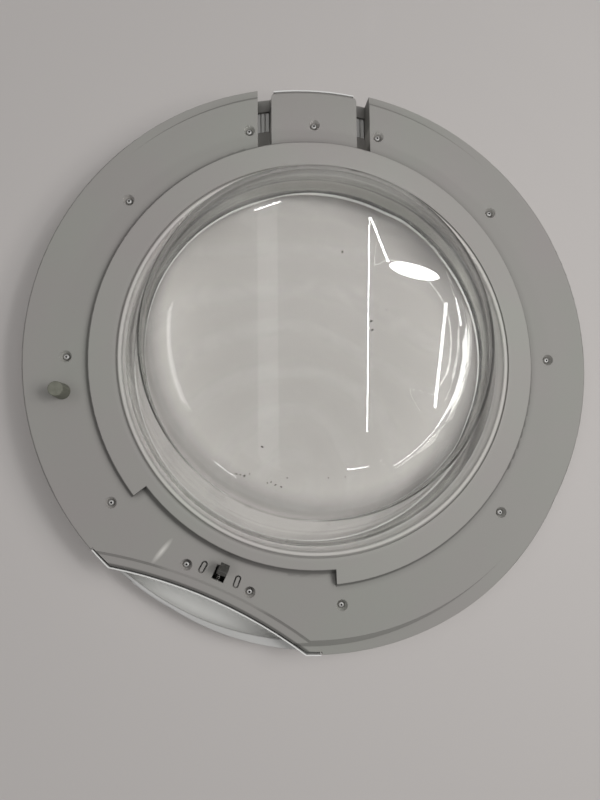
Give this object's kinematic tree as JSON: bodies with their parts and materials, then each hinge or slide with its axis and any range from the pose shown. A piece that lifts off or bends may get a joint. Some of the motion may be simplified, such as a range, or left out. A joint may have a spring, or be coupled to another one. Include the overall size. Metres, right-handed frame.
{
  "type": "washing machine door",
  "caption": "Round porthole door of a front-loading washing machine: white front ring, grey rear frame, clear glass bowl, sprung latch hook, hinge slots and finger grip.",
  "frame": {"origin": "on the door's axis, on the surface that the front ring lies on", "axes": "+Z to the drum side along the door's axis, +Y to the hinge, latch near -Y"},
  "size_m": [0.46, 0.4647, 0.115],
  "materials": {
    "white_abs": "satin moulded",
    "grey_pp": "fine-grained moulded",
    "clear_glass": "pressed, polished",
    "gasket_rubber": "matte extruded",
    "zinc_steel": "zinc plated",
    "dark_pom": "moulded",
    "spring_steel": "drawn wire",
    "buffer_rubber": "matte moulded"
  },
  "bodies": {
    "door": {"front_ring": "white_abs", "rear_frame": "grey_pp", "glass_bowl": "clear_glass", "glass_gasket": "gasket_rubber", "frame_screws": "zinc_steel", "latch_screws": "zinc_steel", "latch_housing": "dark_pom", "hook_pin": "zinc_steel", "hook_spring": "spring_steel", "buffer": "buffer_rubber"},
    "hook": {"latch_hook": "dark_pom"}
  },
  "joints": [
    {"name": "hook_pivot", "type": "hinge", "parent": "door", "child": "hook", "pos_m": [-0.07684, -0.16631, 0.028], "axis": [0.9078, -0.4195, 0], "range_deg": [0, 15], "stiffness_Nm_per_rad": 0.064, "springref_deg": -21.49, "deforming": ["hook_spring"]}
  ]
}
